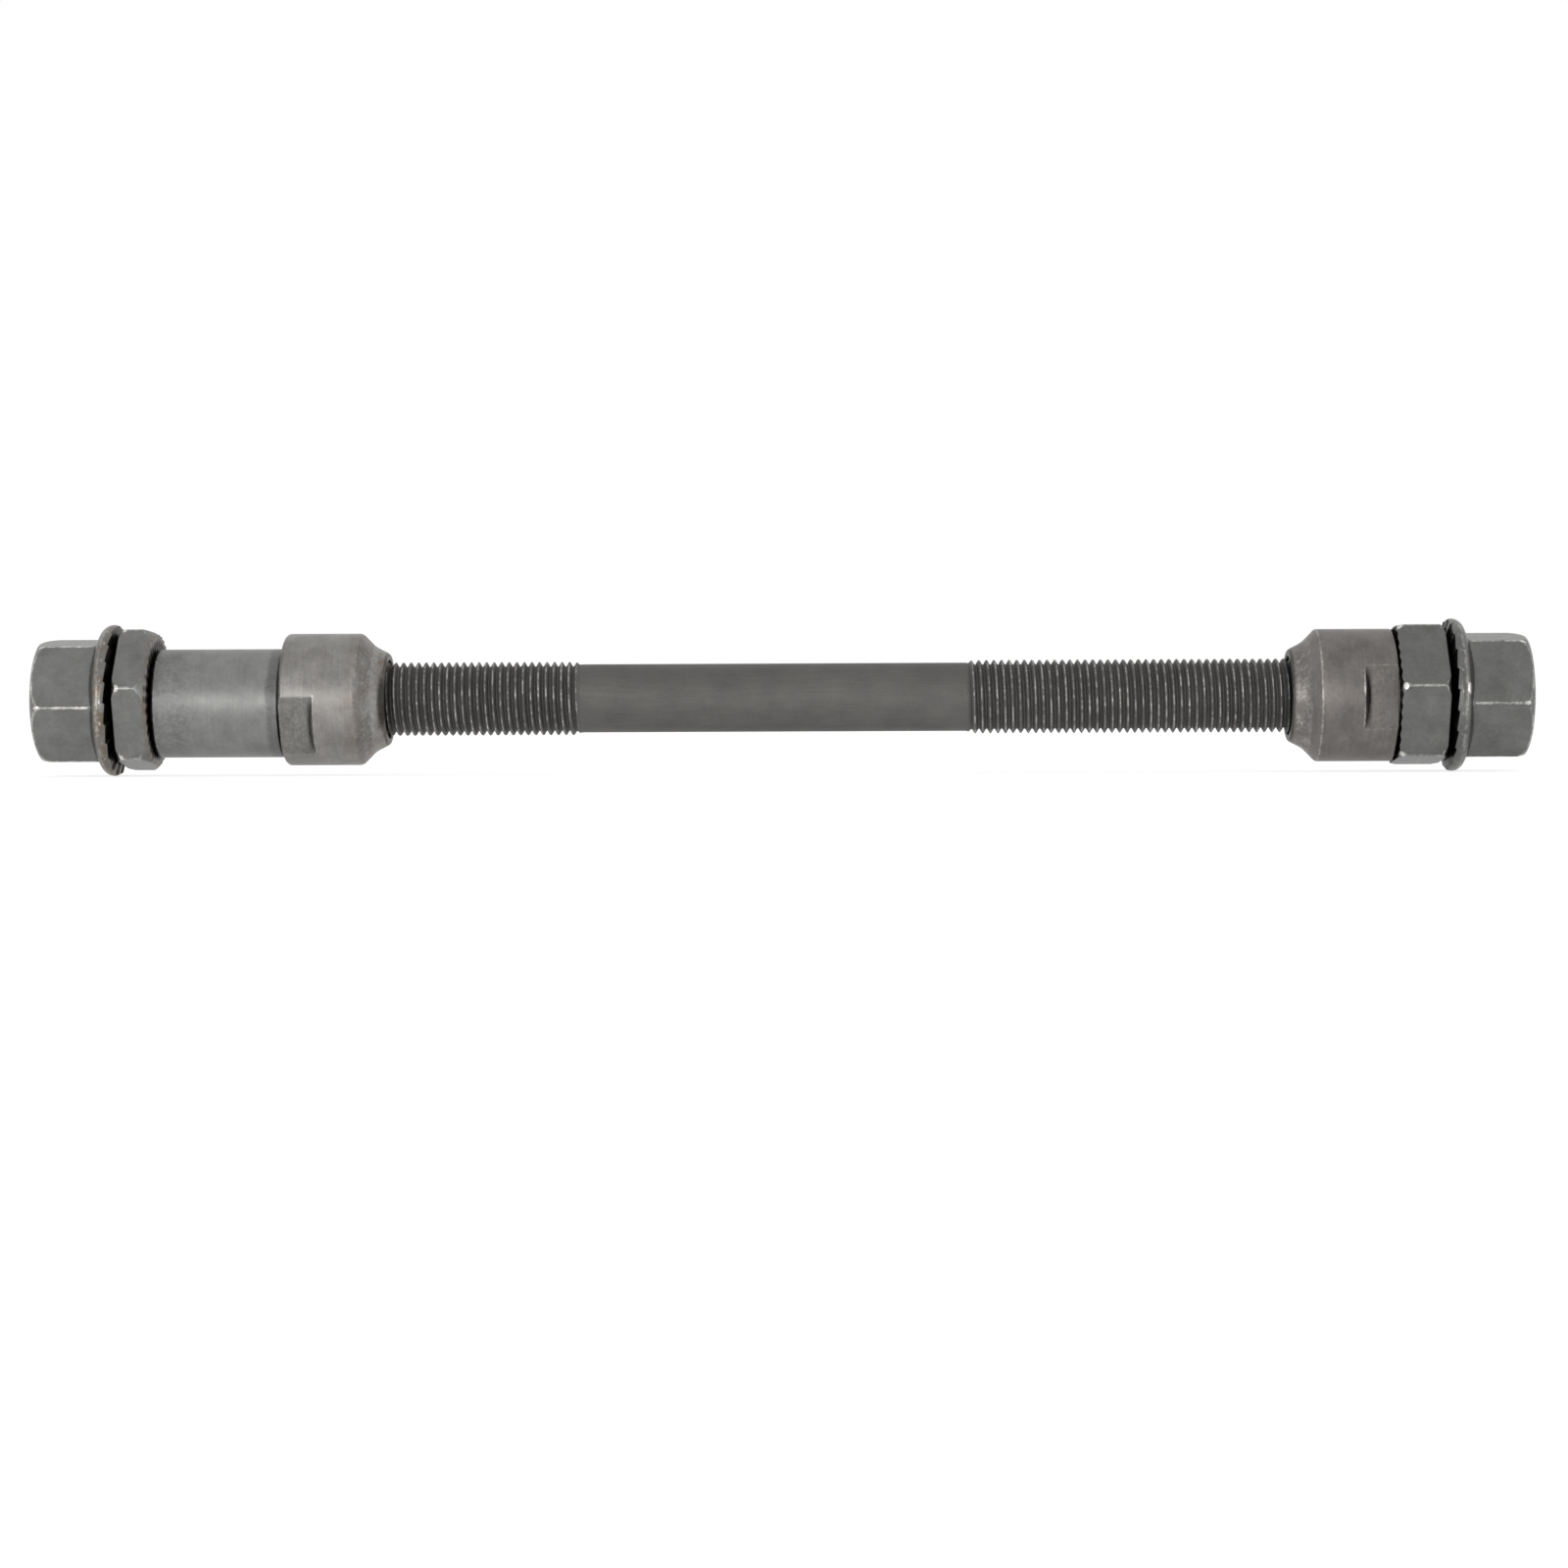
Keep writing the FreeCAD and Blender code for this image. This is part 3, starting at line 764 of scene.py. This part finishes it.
class HUBAXLE_OT_locknuts(bpy.types.Operator):
    """Forms the two hexagon locknuts with serrated inner faces"""

    bl_idname = "hubaxle.locknuts"
    bl_label = "Locknuts"

    def execute(self, context):
        sizes, finishes = context.scene.hub_axle_sizes, context.scene.hub_axle_finishes
        bore = sizes.bore_diameter / 2
        corner = sizes.locknut_across / math.sqrt(3)
        back, boss = sizes.locknut_back_face / 2, sizes.locknut_boss / 2
        face_edge, flat_edge, rim = 0.1 * MM, 0.12 * MM, 0.35 * MM
        for side, facing in SIDES:
            node = side + "_locknut"
            origin = start_of(node, facing)
            total = SPAN[node][1] - SPAN[node][0]
            rest = total - sizes.boss_height
            corners = [
                (BORE_CHAMFER, bore, 0),
                (0, bore + BORE_CHAMFER, 0),
                (0, own(sizes, side, "locknut_face") / 2, face_edge),
                (own(sizes, side, "locknut_chamfer"), corner, BROKEN_EDGE),
                (rest - (corner - back), corner, BROKEN_EDGE),
                (rest, back, BROKEN_EDGE),
                (rest, boss, 0),
                (total, boss, 0),
                (total, bore + BORE_CHAMFER, 0),
                (total - BORE_CHAMFER, bore, 0),
                (BORE_CHAMFER, bore, 0),
            ]
            section = divided(rounded(corners), sizes.surface_step, bore)
            piece = turn_on_lathe(side + "_hex_locknut", section, origin, facing, sizes.lathe_steps)
            front_corner = own(sizes, side, "locknut_turn")

            def rule(along, radius, angle):
                if radius < bore + 0.2 * MM:
                    return along, radius, angle
                groove = abs((angle / FULL_TURN * sizes.grip_count) % 1 - 0.5) * 2
                cut = sizes.grip_depth * groove * ease(1 - along / sizes.grip_reach)
                past_grip = ease((along - sizes.grip_reach) / MM)
                angle += past_grip * (drawn_to_corners(angle, 6, front_corner) - angle)
                reach = flats_reach(angle - front_corner, sizes.locknut_across, 6, sizes.edge_round)
                return along + cut * radius / corner, soft_min(radius, reach, flat_edge), angle

            reshape(piece, origin, facing, rule)
            if side == "left":
                # Oil and painted shadow only round the spacer, and corners that shine beside the axle
                # nut
                oil_radius, shine, brown = sizes.spacer_diameter / 2 + MM, total - 0.9 * MM, 0.7
            else:
                oil_radius, shine, brown = sizes.locknut_across, 0.45 * MM, 0.0
            # Oil and painted shadow on the inner face by its joint, and painted shadow in the rim
            # beside the axle nut
            finish_piece(
                piece, nut_steel(side, finishes), "axle_set", node, "nut_steel",
                joints=[origin], joint_oil=0.95, oil_radius=oil_radius,
                stains=[(origin + facing * total, rim, 0.9)], tints=[(origin, 0.6 * MM, brown)],
                shelter=0.6 * MM, handling=0.8, most_wear=0.9,
                spots=[(origin + facing * shine, front_corner, 6, 0.36 * MM, 0.55 * MM, 3.0)])
        return {"FINISHED"}


class HUBAXLE_OT_axle_nuts(bpy.types.Operator):
    """Forges the two axle nuts with a round rim and ratchet teeth on the seat"""

    bl_idname = "hubaxle.axle_nuts"
    bl_label = "Flanged axle nuts"

    def execute(self, context):
        sizes, finishes = context.scene.hub_axle_sizes, context.scene.hub_axle_finishes
        bore = sizes.bore_diameter / 2
        corner = sizes.nut_across / math.sqrt(3) + 0.03 * MM
        flare_foot, flare_top = sizes.nut_across / 2 - 0.1 * MM, corner + 0.06 * MM
        flat_edge, flare_edge = 0.2 * MM, 0.3 * MM
        seat_chamfer, outer_chamfer = 0.4 * MM, 0.5 * MM
        low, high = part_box("right_axle_nut")
        rim = min(high.z - low.z, high.y - low.y) / 2
        bead = sizes.bead_radius
        rim_middle = sizes.flange_height - bead
        seat_rim = rim - bead + math.sqrt(bead ** 2 - (rim_middle - sizes.seat_dish) ** 2)
        first_spoke = math.acos((rim_middle - sizes.seat_dish) / bead)
        last_spoke = math.pi - math.asin((flare_top - rim + bead) / bead)
        rim_arc = []
        for share in np.linspace(0, 1, 18):
            spoke = first_spoke + share * (last_spoke - first_spoke)
            rim_arc.append((
                rim_middle - bead * math.cos(spoke), rim - bead + bead * math.sin(spoke), 0))
        dome_drop = sizes.dome_radius - math.sqrt(sizes.dome_radius ** 2 - sizes.dome_length ** 2)
        # Where the teeth end, the run over which they fade there, and the sloping share of each tooth
        tooth_end, tooth_fade, tooth_slope = 1.15 * MM, 0.4 * MM, 0.86
        for side, facing in SIDES:
            node = side + "_axle_nut"
            origin = start_of(node, facing)
            total = SPAN[node][1] - SPAN[node][0]
            dome = []
            for share in (0, 0.25, 0.45, 0.6, 0.75, 0.88):
                rise = math.sqrt(sizes.dome_radius ** 2 - (sizes.dome_length * share) ** 2)
                dome.append((total - sizes.dome_length * (1 - share),
                             corner - sizes.dome_radius + rise, 0))
            corners = [
                (seat_chamfer, bore, 0),
                (0, bore + seat_chamfer, 0),
                (0, 0.76 * rim, 0.2 * MM),
                (sizes.seat_dish - 0.02 * MM, seat_rim - 0.1 * MM, 0),
                *rim_arc,
                (sizes.flange_height + 0.1 * MM, corner, 0),
                *dome,
                (total, corner - dome_drop, 0.3 * MM),
                (total, bore + outer_chamfer, 0.2 * MM),
                (total - outer_chamfer, bore, 0),
                (seat_chamfer, bore, 0),
            ]
            section = divided(rounded(corners), sizes.surface_step, bore)
            piece = turn_on_lathe(side + "_flanged_nut", section, origin, facing, sizes.lathe_steps)
            front_corner, first_tooth = own(sizes, side, "nut_turn"), own(sizes, side, "tooth_turn")

            def rule(along, radius, angle):
                if radius < bore + 0.3 * MM:
                    return along, radius, angle
                if along < rim_middle:
                    step = (facing * (angle - first_tooth) / FULL_TURN * sizes.tooth_count) % 1
                    bite = max(0.0, 1 - step / tooth_slope) * ease((tooth_end - along) / tooth_fade)
                    return along + sizes.tooth_depth * bite * radius / rim, radius, angle
                if along < sizes.flange_height:
                    return along, radius, angle
                past_flange = ease((along - sizes.flange_height) / sizes.flare_height)
                angle += past_flange * (drawn_to_corners(angle, 6, front_corner) - angle)
                reach = flats_reach(angle - front_corner, sizes.nut_across, 6, sizes.edge_round)
                radius = soft_min(radius, reach, flat_edge)
                rise = 1 - (along - sizes.flange_height) / sizes.flare_height
                if rise > 0:
                    flare = flare_foot + (flare_top - flare_foot) * rise ** 2
                    radius = soft_max(radius, flare, flare_edge)
                return along, radius, angle

            def at(distance):
                return origin + facing * distance

            reshape(piece, origin, facing, rule)
            if side == "left":
                brown, handling, nick = 0.8, 0.8, 0.0
            else:
                # A single painted highlight of bare steel behind the rim, at the front
                brown, handling, nick = 0.0, 0.6, 3.0
            # Oil and painted shadow on the toothed seat that faces the locknut
            finish_piece(
                piece, nut_steel(side, finishes), side + "_nut", node, "nut_steel",
                joints=JOINTS, joint_oil=0.88, shelter=1.1 * MM, handling=handling,
                tints=[(origin, 2.4 * MM, brown)],
                # The rubbed ring on the bead also paints its highlight
                rubs=[(at(rim_middle + 0.45 * MM), 0.3 * MM, 0.55)],
                spots=[(at(total - 1.2 * MM), front_corner, 6, 0.6 * MM, 0.35 * MM, 1.6),
                       (at(2.1 * MM), math.radians(-4.8), 1, 0.35 * MM, 0.9 * MM, nick)])
        return {"FINISHED"}


class HUBAXLE_OT_stage(bpy.types.Operator):
    """Sets out the white floor, the soft lights and the camera"""

    bl_idname = "hubaxle.stage"
    bl_label = "Studio stage"

    def execute(self, context):
        scene = context.scene
        scene.view_settings.view_transform = "Standard"
        floor_height, floor_width = cad_box[0].z, 6.0
        bpy.ops.object.select_all(action="DESELECT")
        bpy.ops.mesh.primitive_plane_add(size=floor_width, location=(0, 0, 0))
        floor = context.active_object
        floor.name = "studio_floor"
        bpy.ops.object.mode_set(mode="EDIT")
        bpy.ops.mesh.select_all(action="SELECT")
        bpy.ops.transform.translate(value=(0, 0, floor_height))
        bpy.ops.object.mode_set(mode="OBJECT")
        floor.data.materials.append(white_floor())
        scene.world = white_surroundings()
        for name, place, width, height, power in (
                ("front_softbox", (-0.1, -1.1, 0.06), 0.5, 0.3, 2.5),
                ("left_softbox", (-0.75, -0.75, 0.06), 0.18, 0.18, 1.6),
                ("right_softbox", (0.9, -0.3, 0.06), 0.18, 0.18, 0.6)):
            bpy.ops.object.light_add(type="AREA", location=place)
            lamp = context.active_object
            lamp.name = name
            lamp.data.shape = "RECTANGLE"
            lamp.data.size = width
            lamp.data.size_y = height
            lamp.data.energy = power
            lamp.rotation_euler = Vector(place).to_track_quat("Z", "Y").to_euler()
        bpy.ops.object.camera_add()
        camera = context.active_object
        camera.name = "photo_camera"
        camera.data.sensor_width = 36.0
        camera.data.lens = 81.0
        yaw, roll, distance = math.radians(1.3), math.radians(0.25), 0.455
        camera.location = (distance * math.sin(yaw), -distance * math.cos(yaw), 0)
        camera.rotation_euler = (math.radians(90), roll, yaw)
        camera.data.shift_x = 4 / PICTURE_PIXELS
        camera.data.shift_y = -88.2 / PICTURE_PIXELS
        camera.data.clip_start = 0.01
        scene.camera = camera
        return {"FINISHED"}


def seen_directly(tree):
    """1 for rays that show the background itself: from the camera, in gloss or through glass."""
    path = add_node(tree, "ShaderNodeLightPath").outputs
    shown = add_node(tree, "ShaderNodeMath", (path["Is Camera Ray"], path["Is Glossy Ray"]),
                     operation="MAXIMUM")
    return add_node(tree, "ShaderNodeMath", (shown, path["Is Transmission Ray"]),
                    operation="MAXIMUM")


def white_floor():
    """A matt white floor that looks white by itself and still takes the object's shadow."""
    material = bpy.data.materials.new("white_studio_floor")
    material.use_nodes = True
    tree = material.node_tree
    shader = tree.nodes["Principled BSDF"]
    shader.inputs["Base Color"].default_value = (*linear_colour("#b3b3b3"), 1)
    shader.inputs["Roughness"].default_value = 0.9
    shader.inputs["Specular IOR Level"].default_value = 0.0
    shader.inputs["Emission Color"].default_value = (1, 1, 1, 1)
    lift = add_node(tree, "ShaderNodeMath", (seen_directly(tree), 0.75), operation="MULTIPLY")
    tree.links.new(lift.outputs["Value"], shader.inputs["Emission Strength"])
    return material


def white_surroundings():
    """Even white light, and plain white where it is seen."""
    world = bpy.data.worlds.new("white_surroundings")
    world.use_nodes = True
    tree = world.node_tree
    level = add_node(tree, "ShaderNodeMapRange", {
        "Value": seen_directly(tree), "To Min": 0.8, "To Max": 1.0})
    tree.links.new(level.outputs["Result"], tree.nodes["Background"].inputs["Strength"])
    tree.nodes["Background"].inputs["Color"].default_value = (1, 1, 1, 1)
    return world


class HUBAXLE_PT_panel(bpy.types.Panel):
    """Lists the pieces of the hub axle"""

    bl_idname = "HUBAXLE_PT_panel"
    bl_label = "Hub Axle"
    bl_space_type = "VIEW_3D"
    bl_region_type = "UI"
    bl_category = "Hub Axle"

    def draw(self, context):
        for operator in OPERATORS:
            self.layout.operator(operator.bl_idname)
        for group in (context.scene.hub_axle_sizes, context.scene.hub_axle_finishes):
            box = self.layout.box()
            for name in group.__annotations__:
                box.prop(group, name)


OPERATORS = (
    HUBAXLE_OT_axle, HUBAXLE_OT_cones, HUBAXLE_OT_spacer, HUBAXLE_OT_locknuts,
    HUBAXLE_OT_axle_nuts, HUBAXLE_OT_stage,
)
CLASSES = (HubAxleSizes, HubAxleFinishes, *OPERATORS, HUBAXLE_PT_panel)


def register():
    for part in CLASSES:
        bpy.utils.register_class(part)
    bpy.types.Scene.hub_axle_sizes = PointerProperty(type=HubAxleSizes)
    bpy.types.Scene.hub_axle_finishes = PointerProperty(type=HubAxleFinishes)


def unregister():
    del bpy.types.Scene.hub_axle_finishes
    del bpy.types.Scene.hub_axle_sizes
    for part in reversed(CLASSES):
        bpy.utils.unregister_class(part)


def main():
    register()
    bpy.ops.hubaxle.axle()
    bpy.ops.hubaxle.cones()
    bpy.ops.hubaxle.spacer()
    bpy.ops.hubaxle.locknuts()
    bpy.ops.hubaxle.axle_nuts()
    bpy.ops.hubaxle.stage()


if __name__ == "__main__":
    main()
